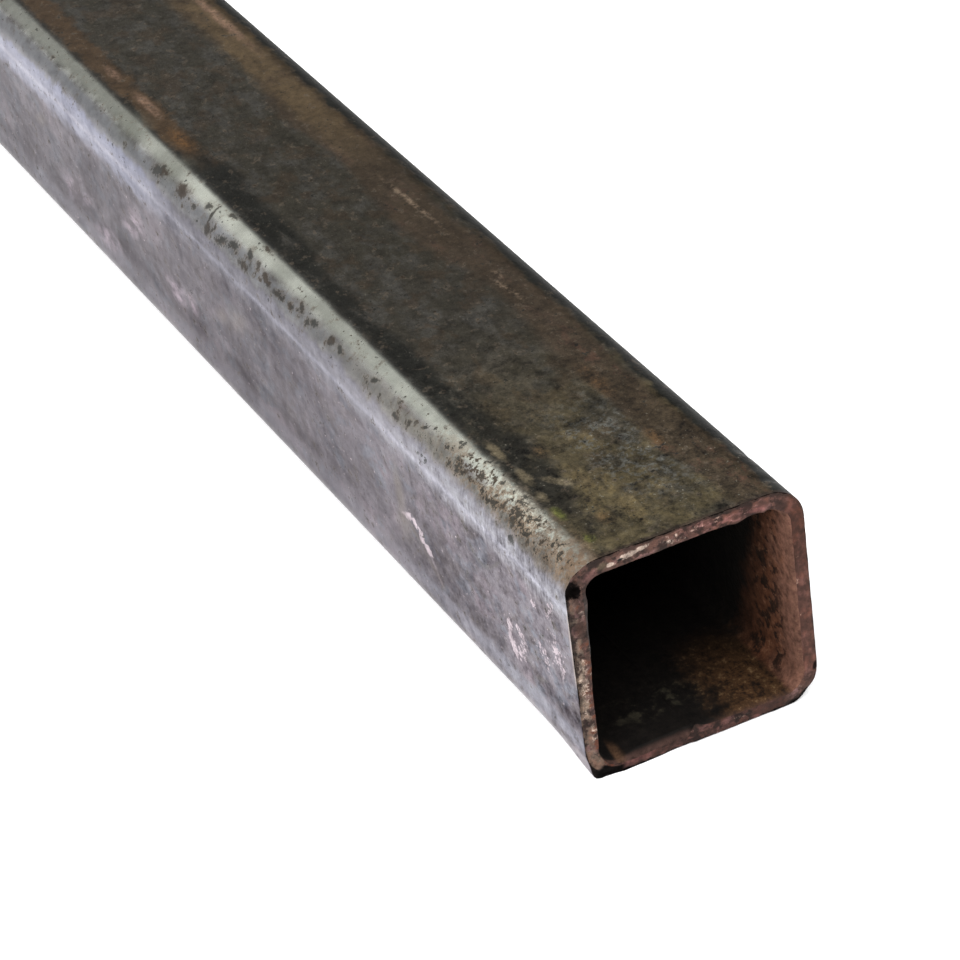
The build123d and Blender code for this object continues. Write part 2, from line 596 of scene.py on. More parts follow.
class MillScale(Surface):
    """The outside's material, with the noises and masks that its layers share."""

    def __init__(self):
        super().__init__("mill_scale", SCALE_GREY, 0.95, 0.3, 0.25)
        rolled = self.stretched(self.place, 0.75, 1, 1)
        self.broad = self.lumps(self.stretched(self.place, 0.5, 1, 1), 22, 2, 0.5, 9)
        self.clouds = self.lumps(rolled, 8, 4, 0.6)
        self.drift = self.lumps(rolled, 5, 4, 0.65, 31)
        self.patches = self.lumps(self.stretched(self.place, 0.6, 1, 1), 4, 5, 0.72, 61)
        self.grit = self.lumps(self.place, 2.4, 5, 0.85, 3)
        self.crystals = self.lumps(self.place, 1.1, 4, 0.7, 47)
        self.specks = self.lumps(self.place, 0.55, 3, 0.6, 71)
        self.scoured = self.lumps(self.stretched(self.place, 1, 0.15, 0.12), 0.6, 3, 0.6, 17)
        self.ragged = self.warped(0.5, 0.9, 5)
        self.wander = self.shifted(self.girth, self.broad, 12)
        self.loose = self.shifted(self.girth, self.drift, 6)
        self.steady = self.shifted(self.girth, self.drift, 1.2)
        self.near_end = self.rise(self.along, 75, 12)
        self.loose_along = self.shifted(self.along, self.drift, 12)

    def laid(self, at, places):
        """How far the nearest ragged oval is. Each has its place by at, such as top, for its girth."""
        return self.nearest(self.ragged, [(along, at(across), *shape) for along, across, *shape in places])

    def marks(self, at, places, soft):
        """A mask of ragged ovals with soft rims."""
        return self.rise(self.laid(at, places), 1 + soft, 1 - soft)


def bare_scale_and_painted_light(s):
    """Mill scale's own colours in lengthwise bands, with painted light and shade: darker further from the
    cut as a painted fall-off of the light, a painted dark reflection and a painted sheen low on the -Y
    side, and a painted tint and brightness in the near corner's highlights.
    """
    s.coat(s.rise(s.clouds, 0.5, 0.66), SCALE_MAUVE)
    s.coat(s.rise(s.drift, 0.5, 0.64), SCALE_BLUE)
    s.coat(s.rise(s.patches, 0.5, 0.36, 0, 0.9), SCALE_WARM)
    # Painted fall-off of the light: the colour and the reflections' tint grow darker further from the cut.
    s.dim(s.course(s.along, (8, 1.05), (38, 0.8), (70, 0.72), (125, 0.48)))
    edge = s.course(s.along, (8, 0.9), (30, 0.85), (60, 0.86), (135, 0.75), (180, 0.82))
    s.edge = s.scaled(SCALE_EDGE, edge)
    s.shade(s.clouds, 0.9)
    s.shade(s.broad, s.course(s.along, (25, 1.1), (70, 0.5)))
    s.shade(s.patches, s.rise(s.along, 90, 20, 0.5, 0.6))
    # A painted dark reflection in a band low on the -Y side, and a painted sheen below it.
    dark_reflection_band = s.strip(s.steady, near_side, 13.4, 9.9, 0.9)
    s.tone(dark_reflection_band, s.course(s.along, (8, 0.68), (25, 0.92), (60, 0.97), (100, 0.88)))
    sheen = s.both(s.strip(s.steady, near_side, 8.8, 5.8, 1), s.rise(s.along, 78, 15, 0.25, 1))
    s.coat(s.times(sheen, 0.9), SHEEN)
    s.coat(s.band(s.loose, near_corner(157), near_side(30.5), 1.8), SHOULDER)
    far_shoulder = s.both(s.band(s.loose, near_corner(157), near_side(29.5), 1.8),
                          s.rise(s.loose_along, 138, 170))
    s.coat(far_shoulder, COOL_SHOULDER)
    brushed = s.times(s.band(s.loose, near_corner(157), near_side(29), 1.5),
                      s.rise(s.along, 60, 18, 0.2, 1.7))
    s.shade(s.scoured, brushed)
    rubbed_line = s.strip(s.steady, near_side, 32.9, 32.1, 0.7)
    s.coat(rubbed_line, RUBBED, roughness=0.33)
    flank = s.strip(s.loose, near_corner, 128, 158, 1.2)
    s.coat(flank, SCALE_SIDE)
    s.coat(s.both(flank, s.rise(s.loose_along, 45, 110)), COOL_FLANK)
    # Where the key light's highlight falls on the near corner: a greener, more reflective coat, which
    # paints the highlight's tint and part of its brightness into the surface.
    s.coat(s.strip(s.girth, near_corner, 88, 127, 1.2), HIGHLIGHT_GREEN, roughness=0.2)
    # Painted brightness of the highlight, the flank's reflection and the shoulder's reflection, changing
    # along the tube.
    s.tone(s.strip(s.loose, near_corner, 98, 128, 0.8),
           s.course(s.loose_along, (10, 0.85), (30, 1.3), (55, 0.98), (90, 0.8), (135, 0.98), (180, 0.6)))
    s.tone(s.strip(s.loose, near_corner, 129, 157, 0.8),
           s.course(s.loose_along, (10, 0.85), (30, 0.95), (55, 1.05), (90, 1), (180, 1)))
    s.tone(s.band(s.loose, near_corner(158), near_side(30.5), 0.8),
           s.course(s.loose_along, (10, 1.1), (30, 1.2), (55, 1.05), (90, 0.88), (145, 0.8), (180, 1.08)))


def hidden_sides(s):
    """The bottom and the +Y side: plainer scale, with rust creeping over it and along the weld seam."""
    hidden = s.rise(s.girth, far_corner(40), far_corner(0))
    hidden = s.either(hidden, s.rise(s.girth, low_near_corner(235), low_near_corner(262)))
    far_back = s.rise(s.along, 225, 330)
    spreading = s.lumps(s.stretched(s.place, 0.35, 1, 1), 26, 4, 0.68, 53)
    s.coat(s.times(hidden, 0.75), HIDDEN_GREY, roughness=0.36)
    away = s.either(hidden, s.times(far_back, 0.8))
    rusting = s.rise(s.shifted(spreading, s.patches, 0.35), 0.53, 0.66)
    s.coat(s.both(rusting, away), HIDDEN_RUST, 0.25, 0.55)
    bloomed = s.rise(s.shifted(spreading, s.drift, 0.5), 0.62, 0.74)
    s.coat(s.both(bloomed, away, 0.8), HIDDEN_ORANGE, 0.1, 0.6)
    off_seam = s.math("MINIMUM", s.girth, s.add(GIRTH, s.times(s.girth, -1)))
    scarfed = s.rise(s.shifted(off_seam, s.drift, 1.5), 3.4, 2.6)
    s.coat(s.times(scarfed, 0.7), SCARFED, 0.95, 0.3)
    seam_line = s.rise(s.shifted(off_seam, s.patches, 2.5), 1.1, 0.3)
    s.coat(s.times(seam_line, 0.8), SEAM_RUST, 0.2, 0.55)


def top_grime_and_shade(s):
    """Dark grime in patches, a rusty strip beside the far corner, a painted dark reflection beside the near
    corner and painted shade on the far corner.
    """
    s.top = s.both(s.rise(s.girth, far_corner(12), far_corner(34)),
                   s.rise(s.girth, near_corner(104), near_corner(88)))
    s.coat(s.times(s.top, 0.96), DARK_TOP, 0.25, 0.45)
    s.coat(s.both(s.top, s.rise(s.patches, 0.46, 0.62), 0.75), GREY_TOP)
    s.coat(s.both(s.top, s.rise(s.drift, 0.5, 0.62, 0, 0.6)), BROWN_RUST, 0.15)
    olive = s.both(s.near_end, s.top, s.rise(s.clouds, 0.38, 0.58, 0.2, 0.9))
    s.coat(olive, OLIVE_TOP, 0.1, 0.5)
    ochre = s.both(s.near_end, s.strip(s.wander, top, 1, -9.5, 2.5), s.rise(s.patches, 0.5, 0.62))
    s.coat(s.times(ochre, 0.4), OCHRE, 0.1, 0.55)
    frost = s.both(s.band(s.along, 10, 38, 9), s.strip(s.wander, top, 8, -4, 3),
                   s.rise(s.crystals, 0.5, 0.6))
    s.coat(s.times(frost, 0.55), FROST, 0.2, 0.5)
    strip = s.band(s.wander, far_corner(76), top(7.4), 1.2)
    s.coat(s.times(strip, 0.85), BROWN_RUST, 0.1, 0.55)
    redder = s.both(strip, s.rise(s.patches, 0.52, 0.66, 0, 0.6), s.rise(s.along, 75, 30, 0.35, 1))
    s.coat(redder, RED_RUST)
    # Painted dark reflection in a strip on the top beside the near corner.
    dark_reflection_strip = s.both(s.rise(s.wander, top(-8.3), top(-10.9)),
                        s.rise(s.girth, near_corner(106), near_corner(94)))
    frayed = s.shifted(s.along, s.drift, 20)
    dark_reflection_strip = s.both(dark_reflection_strip, s.rise(frayed, 3, 11))
    reflection_darkness = s.times(s.rise(s.patches, 0.66, 0.5, 0.3, 0.96),
                    s.course(s.along, (8, 0.4), (26, 0.82), (60, 1)))
    s.coat(s.times(dark_reflection_strip, reflection_darkness), SHADE_GREEN_BLACK, 0.3, 0.4)
    # Painted shade on the far top corner, in place of its highlight.
    s.coat(s.strip(s.loose, far_corner, 24, 74, 0.6), SHADE_GREEN_BLACK, 0.1, 0.6)
    golden = s.both(s.band(s.shifted(s.along, s.broad, 60), 140, 235, 22),
                    s.band(s.loose, far_corner(84), top(8.5), 1.6))
    s.coat(s.times(golden, s.rise(s.clouds, 0.4, 0.56, 0.35, 0.95)), GOLDEN_RUST, 0.1, 0.55)
    brown_rim = s.both(s.rise(frayed, 146, 160), s.rise(s.along, 420, 300),
                       s.band(s.loose, top(-9.8), near_corner(92), 0.9))
    s.coat(s.times(brown_rim, 0.9), RIM_BROWN, 0.1, 0.55)


def top_rust(s):
    """Rust, dust and moss that lie on the top."""
    crumbs = s.both(s.top, s.rise(s.along, 45, 15, 0.3, 1), s.rise(s.specks, 0.66, 0.72))
    s.coat(crumbs, PALE_CRUMBS, 0.2, 0.6)
    edge = s.both(s.rise(s.shifted(s.along, s.grit, 1.2), 1.2, 0.5),
                  s.rise(s.girth, near_corner(112), near_corner(84)))
    s.coat(s.times(edge, 0.8), CUT_EDGE, 0.1, 0.6)
    streaks = s.marks(top, [(78, 10.8, 8, 1, 6), (83, 11.6, 3, 0.8), (114, 11, 17, 0.9, 2)], 0.7)
    s.coat(s.both(streaks, s.rise(s.grit, 0.4, 0.6), 0.7), TAN_DUST, 0.1, 0.6)
    lenses = s.marks(top, [
        (19.5, -13, 3.2, 1.3), (26, -12.7, 5, 1.6), (35, -13, 6, 1.5), (22, -9.2, 5, 1.6, 35),
    ], 0.5)
    s.coat(s.both(lenses, s.rise(s.grit, 0.3, 0.5, 0.5, 1)), LENS_OLIVE, 0.1, 0.6)
    orange = s.marks(top, [
        (160.5, -11.7, 8, 2), (31, -7.5, 3, 1.8), (9, -8, 3, 2), (44, 9, 8, 2.2), (24, 8.5, 5, 1.6),
    ], 0.95)
    faint = s.rise(s.along, 60, 140, 0.5, 1)
    s.coat(s.both(orange, s.rise(s.grit, 0.35, 0.6, 0.1, 0.6), faint), ORANGE_RUST, 0.1, 0.6)
    salmon = s.marks(top, [(177, -11.3, 10, 1.8), (193, -11.6, 6, 1.6), (200, 13.2, 26, 1.8)], 0.7)
    s.coat(s.both(salmon, s.rise(s.crystals, 0.36, 0.56, 0.2, 0.8)), SALMON, 0.1, 0.6)
    moss = s.marks(top, [(14, -13.2, 3.6, 1.4), (5.5, -12.6, 2.2, 1.6)], 0.6)
    s.coat(s.both(moss, s.rise(s.grit, 0.35, 0.58, 0.15, 0.8)), MOSS, 0.1, 0.6)


def near_corner_pits(s):
    """The near top corner: beige at the cut, and pitted further back, with painted brighter and dimmer
    patches in its highlight.
    """
    corner = s.strip(s.girth, near_corner, 92, 158, 1.6)
    beige = s.both(corner, s.rise(s.shifted(s.along, s.drift, 30), 17, 3),
                   s.rise(s.crystals, 0.38, 0.52, 0.35, 1))
    s.coat(beige, BEIGE, 0.2, 0.55)
    crowd = s.either(
        s.both(s.band(s.along, 5, 44, 9), s.strip(s.girth, near_corner, 104, 152, 1.8)),
        s.both(s.band(s.along, 38, 150, 12),
               s.strip(s.loose, near_corner, 129, 153, 1.2), 0.25),
        s.times(corner, 0.1))
    clustered = s.shifted(s.crystals, s.patches, 0.5)
    pits = s.rise(s.add(clustered, s.times(crowd, 0.11)), 0.65, 0.69)
    blotchy = s.lumps(s.place, 2.4, 4, 0.7, 83)
    firmer = s.shifted(s.girth, s.drift, 3)
    chain = s.either(
        s.both(s.band(s.along, 76, 134, 8), s.strip(firmer, near_corner, 134, 152, 0.6), 0.6),
        s.both(s.band(s.along, 12, 62, 8), s.strip(firmer, near_corner, 124, 152, 0.8), 0.7),
        s.both(s.band(s.along, 50, 165, 10), s.strip(s.loose, near_corner, 128, 156, 1), 0.3))
    blotchy_chain = s.add(blotchy, s.times(chain, 0.14))
    blotched = s.rise(blotchy_chain, 0.64, 0.7)
    s.coat(s.times(s.rise(blotchy_chain, 0.58, 0.66), 0.5), BLOTCH_HALO, 0.4, 0.5)
    to_blot = s.laid(near_corner, [
        (18, 165, 2.4, 1.5), (58.3, 152, 2.2, 1.3), (68, 133, 2.4, 1, 20), (80.4, 138, 2.8, 1.1, -10),
        (84.3, 139, 2.2, 1.4, 30), (91, 137, 3, 1.2, 12), (96, 133, 2.8, 1.2, -25), (99.3, 143, 2.2, 1.3),
        (104.5, 144, 3.6, 1.3, 15), (109.5, 140, 4.6, 1.1, -18), (113.5, 135, 2.4, 1.3, -35),
        (117.3, 131, 3.6, 1.1, -35), (118, 153, 3.8, 1.4), (123, 137, 3.2, 1.5, 10),
        (127.5, 149, 4, 1.5, 15), (133.2, 149, 2.6, 2.6, 30), (134.2, 126, 0.7, 5, 6),
        (136.5, 119, 2.2, 1.5, 20), (146.1, 133, 4.2, 2.6, 20), (155.7, 135, 5.2, 2.2, 12),
        (115, 104, 2.6, 0.9), (129.5, 104, 3.2, 0.9, 10),
    ])
    to_blot = s.shifted(s.shifted(to_blot, blotchy, 2.6), s.crystals, 2.6)
    blots = s.rise(to_blot, 1.15, 0.55)
    s.coat(s.times(s.rise(to_blot, 1.7, 0.9), 0.35), BLOT_HALO, 0.8, 0.5)
    # Painted highlight: brighter and dimmer patches along the near corner's highlight.
    glints = s.marks(near_corner, [
        (163.5, 116, 7, 4.5), (141.6, 114, 11, 5), (129, 123, 7, 4.5), (113.2, 125, 6, 4),
        (121.5, 118, 5, 4), (101, 116, 6, 3),
    ], 0.8)
    s.tone(glints, 1.35)
    dim_highlight_patches = s.marks(near_corner, [(152.5, 120, 6, 6), (173, 122, 10, 6)], 0.9)
    s.coat(s.times(dim_highlight_patches, 0.4), DIM_HIGHLIGHT_GREEN)
    stained = s.both(crowd, s.rise(s.shifted(clustered, s.drift, 0.7), 0.47, 0.58),
                     s.rise(s.along, 60, 30, 0.4, 1))
    s.coat(s.times(stained, 0.85), STAIN_TAN, 0.3, 0.55)
    bright = s.both(s.strip(s.girth, near_corner, 98, 132, 1),
                    s.band(s.along, 8, 36, 8), s.rise(s.shifted(s.specks, s.crystals, -1), 0.52, 0.62))
    s.coat(s.times(bright, 0.35), BRIGHT_SPECKS, 0.6, 0.35)
    fine = s.both(crowd, s.rise(s.specks, 0.6, 0.66), s.rise(s.along, 38, 14, 0.1, 1))
    s.coat(s.times(fine, 0.8), PIT_BROWN, 0.2, 0.6)
    s.coat(s.either(s.times(pits, 0.85), s.times(blots, 0.8), s.times(blotched, 0.75)),
           s.mixed(s.rise(s.drift, 0.4, 0.52), PIT_BROWN, PIT_GREEN), 0.75, 0.55)


def strokes(width, *points):
    """Ovals end to end along a line on the -Y side; its points are (along, height)."""
    ovals = []
    for (along, height), (next_along, next_height) in zip(points, points[1:]):
        run, fall = next_along - along, height - next_height
        middle = ((along + next_along) / 2, (height + next_height) / 2)
        ovals.append((*middle, math.hypot(run, fall) * 1.3, width, math.degrees(math.atan2(fall, run))))
    return ovals


def near_side_marks(s):
    """The -Y side's pale blooms, scratches and stains."""
    ring = s.marks(near_side, [
        *strokes(2.2, (21.6, 18.6), (22.7, 16.2), (21.9, 13.2)),
        *strokes(2.4, (21.9, 13.2), (20.4, 12.4), (18, 14.8)),
        *strokes(2, (18, 14.8), (17.8, 17), (19.6, 18.6)),
    ], 0.8)
    bloom = s.marks(near_side, [
        (6, 21.5, 5.5, 5.5), (4.5, 18.8, 2.5, 3), (7, 28.5, 2, 6, -30), (12.5, 27.3, 1.5, 2.5),
        (11.5, 19, 3.5, 2.5), (10, 17, 2, 3),
    ], 0.9)
    scratch = s.marks(near_side, [
        *strokes(1.6, (59.8, 17.3), (56.3, 18.7), (54.2, 17.4)),
        *strokes(2.1, (54.2, 17.4), (52.3, 15.8), (50.2, 14.6)),
    ], 0.8)
    trail = s.marks(near_side, strokes(0.9, (50.6, 14.2), (49, 12.1), (47.4, 10.4)), 0.7)
    beside_scratch = s.marks(near_side, [
        *strokes(1.4, (57.6, 17), (54.4, 15.2), (51.4, 13), (47.8, 10.9)), (60.5, 21.5, 2.4, 9),
        (60, 16.6, 3.4, 2),
    ], 0.9)
    crusty = s.either(s.times(ring, 0.26), s.times(bloom, 0.23), s.times(scratch, 0.36))
    blooming = s.rise(s.add(s.shifted(s.crystals, s.specks, 0.4), crusty), 0.65, 0.76)
    pale = s.both(s.either(blooming, s.times(trail, 0.4)),
                  s.rise(s.girth, near_corner(172), near_side(33)))
    s.coat(s.times(pale, 0.9), PINK_BLOOM, 0.6, 0.42)
    s.coat(s.times(beside_scratch, s.rise(s.patches, 0.38, 0.56, 0.5, 0.95)), SCRATCH_BROWN, 0.7)
    streaked = s.both(s.band(s.along, 3, 46, 8), s.strip(s.girth, near_side, 29, 16, 2.5),
                      s.rise(s.shifted(s.scoured, s.crystals, 0.5), 0.68, 0.76))
    s.coat(s.times(streaked, 0.25), PALE_STREAKS, 0.7, 0.4)
    stains = s.marks(near_side, [
        (59.5, 22, 2.6, 9), (124, 23, 9, 4, 25), (60, 15, 5, 5), (131, 20.5, 6, 2.5, 20),
        (216, 23.5, 6, 2, 20),
    ], 0.9)
    s.coat(s.times(stains, 0.6), STAIN_BROWN, 0.5)
    blushes = s.marks(near_side, [
        (154, 15, 7, 4.5, 10), (172, 20.5, 9, 4, 25), (202, 14, 12, 5, 15), (146, 15.5, 3.5, 3),
        (188, 10, 10, 4, 10),
    ], 0.95)
    s.coat(s.times(blushes, s.rise(s.patches, 0.4, 0.58, 0.15, 1)), BLUSH)
    bruises = s.marks(near_side, [
        (144, 12, 7, 6), (178, 13, 6, 4), (151, 30, 6, 3.5), (127, 29, 5, 5, 20), (138, 8.5, 5, 3),
    ], 0.95)
    s.tone(s.times(bruises, s.rise(s.patches, 0.35, 0.6, 0.3, 1)), 0.68)
    dots = s.marks(near_side, [
        (40.2, 27.3, 1.1, 1.2), (35.1, 29.3, 1, 2.6), (33.2, 25.6, 2.6, 1, -30),
        (30.8, 24.4, 3.4, 0.8, -8), (27.8, 25.1, 3.8, 0.8, 24), (24.4, 27.5, 4.6, 0.7, 40),
        (13, 12.3, 5, 0.8, 20), (42, 9.6, 1.2, 1),
    ], 0.6)
    s.coat(s.times(dots, 0.55), PIT_BROWN, 0.3)
    bright_edge = s.both(s.rise(s.shifted(s.along, s.grit, 1.5), 0.75, 0.35),
                         s.strip(s.girth, near_side, 32, 19, 1.5))
    s.coat(s.times(bright_edge, 0.5), BRIGHT_EDGE, 0.5, 0.4)


def grain(s):
    """The fine light and dark over everything, calmer on the bright bands, and its slight relief."""
    foot = s.strip(s.steady, near_side, 9.8, 4.8, 0.9)
    patchy = s.add(s.rise(s.along, 8, 80, 0.8, 0.3), s.times(s.top, s.rise(s.along, 25, 95, 1, 0.4)))
    s.shade(s.patches, s.times(patchy, s.tame(foot, 0.35)))
    calm = s.tame(s.strip(s.girth, near_corner, 96, 132, 1), 0.55)
    gritty = s.add(s.rise(s.along, 8, 80, 3, 1.1), s.times(s.top, s.rise(s.along, 15, 110, 2.4, 1.4)))
    s.shade(s.grit, s.times(gritty, s.both(calm, s.tame(foot, 0.75))))
    s.raise_by(s.grit, s.rise(s.along, 80, 20, 0.02, 0.06))


def mill_scale():
    """The outside: smooth grey scale, dirty and rusting in strips on top, pitted on its near top corner,
    with painted light and shade on its top, its near corner and its -Y side.
    """
    s = MillScale()
    for layer in (bare_scale_and_painted_light, hidden_sides, top_grime_and_shade, top_rust, near_corner_pits, near_side_marks, grain):
        layer(s)
    return s.finish()


SAWN_BROWN = (0.066, 0.035, 0.027)
SAWN_RUST = (0.07, 0.024, 0.013)
SAWN_MAUVE = (0.115, 0.062, 0.058)
SAWN_BEIGE = (0.145, 0.11, 0.083)
SAWN_DARK = (0.02, 0.01, 0.0075)
SAWN_CREAM = (0.36, 0.28, 0.23)
SAWN_EDGE = (0.015, 0.008, 0.005)
SAWN_UMBER = (0.05, 0.018, 0.011)
SAWN_GREY = (0.055, 0.05, 0.05)
SAWN_OLIVE = (0.09, 0.066, 0.04)
SAWN_BLUSH = (0.135, 0.062, 0.056)


def sawn_steel():
    """The cut: red-brown and mauve, beige and mottled on the -Y side, with pale crystals and dark edges."""
    s = Surface("sawn_steel", SAWN_BROWN, 0, 0.8, 0.2)
    depth = s.depth()
    y, z = s.split(s.place)[1:3]
    face = s.flat(y, z)
    streaks = s.lumps(s.flat(s.times(s.girth, 0.55), depth), 1.3, 5, 0.68, 7)
    blotches = s.lumps(face, 1.6, 5, 0.62, 23)
    patches = s.lumps(face, 2.6, 4, 0.6, 37)
    crystals = s.lumps(face, 1.1, 6, 0.8, 11)
    wavy_depth = s.shifted(depth, streaks, 1.4)
    left = s.both(s.rise(s.girth, near_corner(150), near_side(30)),
                  s.rise(s.girth, low_near_corner(262), low_near_corner(235)))
    right = s.both(s.rise(s.girth, low_far_corner(300), far_side(8)),
                   s.rise(s.girth, far_corner(88), far_corner(30)))
    rough = s.add(1, s.times(right, -0.8))

    s.coat(s.both(s.rise(streaks, 0.5, 0.62), s.add(0.8, s.times(right, -0.45))), SAWN_MAUVE)
    s.coat(s.both(s.rise(blotches, 0.52, 0.6), s.add(left, 0.25)), SAWN_RUST)
    s.coat(s.both(s.rise(patches, 0.54, 0.45), s.rise(blotches, 0.56, 0.48), rough, 0.9), SAWN_DARK)
    beige = s.both(left, s.rise(s.shifted(wavy_depth, patches, 3), 1.9, 1.3), s.rise(blotches, 0.42, 0.5))
    s.coat(s.times(beige, s.course(z, (9, 0.4), (17, 0.85), (27, 0.5))), SAWN_BEIGE)
    umber = s.both(left, s.rise(s.shifted(patches, blotches, 0.6), 0.54, 0.62), s.rise(z, 31, 26, 0.4, 0.9))
    s.coat(s.times(umber, 0.8), SAWN_UMBER)
    s.coat(s.both(left, s.rise(depth, 2.75, 2.9)), SAWN_GREY)
    olive = s.spots(face, [(-16.6, 4.6, 2.2, 2.2), (-13.6, 38.3, 1.6, 1.2)], 0.6)
    s.coat(s.times(olive, 0.6), SAWN_OLIVE)
    blush = s.spots(face, [(-15.7, 37.3, 2.2, 1.7), (-12.5, 1.1, 6.5, 1, 4), (12.5, 38, 2.6, 0.8)], 0.6)
    s.coat(s.times(blush, 0.6), SAWN_BLUSH)

    # Pale crystals, in clusters
    streak = s.spots(face, [
        (-9.2, 38.6, 3.6, 1, 4), (-7.2, 38.9, 2.4, 0.8, 8), (-12.2, 38.1, 1.3, 0.7),
    ], 0.7)
    clusters = s.spots(face, [
        (-1.8, 38.4, 4.2, 1.8), (1.8, 38.7, 2.6, 1.2), (5.4, 38.8, 2, 1.4), (-18.7, 19, 2.2, 14),
        (17.7, 22.3, 1, 2.6), (18, 27.2, 0.8, 0.8), (-2, 2.2, 1, 1.6, 60), (-18, 9.5, 1.5, 3),
        (6, 1.6, 5, 0.7), (-17.8, 31, 1.2, 2.5),
    ], 0.7)
    glint = s.add(crystals, s.add(s.times(streak, 0.3), s.times(clusters, 0.13)))
    s.coat(s.times(s.rise(glint, 0.62, 0.76), 0.9), SAWN_CREAM)
    holes = s.rise(s.add(crystals, s.times(rough, -0.05)), 0.33, 0.27)
    s.coat(s.times(holes, 0.8), SAWN_EDGE)

    # Darker near the corners and underneath, and along the edges
    under = s.rise(s.math("ABSOLUTE", s.add(s.girth, -GIRTH / 2)), GIRTH / 2 - 18, GIRTH / 2 - 14)
    s.tint(under, (0.62, 0.52, 0.5))
    s.tint(right, (0.95, 0.76, 0.7))
    s.tint(s.band(s.girth, far_side(25), far_corner(40), 4), (0.74, 0.66, 0.58))
    s.tint(s.band(s.girth, far_corner(80), top(0), 3), (1.12, 0.94, 0.92))
    s.tone(s.band(s.girth, near_corner(120), near_side(27), 3), 0.85)
    outer = s.course(s.girth, (far_side(20), 0.2), (top(6), 1), (near_corner(120), 0.4),
                     (near_side(27), 1), (near_side(6), 0.5))
    s.coat(s.both(s.rise(wavy_depth, 0.62, 0.3), outer, 0.85), SAWN_EDGE)
    s.coat(s.times(s.rise(wavy_depth, 2.6, 2.9), s.times(rough, 0.5)), SAWN_EDGE)
    s.tone(s.both(right, s.rise(depth, 1.9, 2.8)), 0.86)

    # Corners that were knocked or torn, in black, with painted shade on the knocked corner's downward bevel
    # and a painted shadow along the bottom edge
    # The knocked corner's bevel faces down, and its black is partly painted shade.
    knocked = s.both(s.strip(s.girth, low_near_corner, 226, 270, 0.6),
                     s.rise(s.shifted(depth, streaks, 0.6), 1.5, 1.2))
    torn = s.both(s.strip(s.shifted(s.girth, blotches, 5), near_corner, 146, 174, 0.5),
                  s.rise(s.shifted(wavy_depth, crystals, 3), 2.5, 1.9))
    bruised = s.spots(face, [
        (17.4, 1.3, 2.4, 1.2, 35), (19.6, 5.8, 0.8, 1.6, -20), (15.9, 0.5, 2.5, 0.8),
    ], 0.4)
    # Painted shadow along the bottom edge, which faces down.
    bottom_edge_shadow = s.both(under, s.rise(wavy_depth, 0.45, 0.25))
    rim = s.rise(wavy_depth, 0.14, 0.02)
    torn = s.both(torn, s.rise(crystals, 0.66, 0.56, 0.75, 0.98))
    black = s.either(knocked, torn, s.times(bruised, 0.9), bottom_edge_shadow, s.times(rim, 0.85))
    s.coat(black, PIT_AND_SHADE_BLACK, 1, 0.9)
    s.coat(s.spots(face, [(-10.6, 38.25, 1, 0.6), (-17.9, 35, 0.5, 0.3, 60)], 0.4), PIT_AND_SHADE_BLACK)
    s.shade(streaks, 2)
    s.shade(blotches, s.add(2.2, s.times(left, 1.4)))
    s.shade(crystals, s.add(s.times(rough, 1.2), 0.4))
    s.raise_by(streaks, 0.1)
    s.raise_by(crystals, 0.05)
    return s.finish()


BORE_BLACK = (0.0042, 0.0032, 0.0026)
BORE_BROWN = (0.125, 0.06, 0.0414)
BORE_RED = (0.066, 0.0255, 0.013)
BORE_DARK = (0.011, 0.006, 0.004)
BORE_LUMPS = (0.024, 0.021, 0.014)
FLOOR_RUST = (0.044, 0.0215, 0.0093)
FLOOR_SPECKS = (0.095, 0.06, 0.03)
FLECKS = (0.105, 0.056, 0.034)
LIP_BROWN = (0.046, 0.025, 0.02)
CORNER_GLOW = (0.075, 0.04, 0.022)


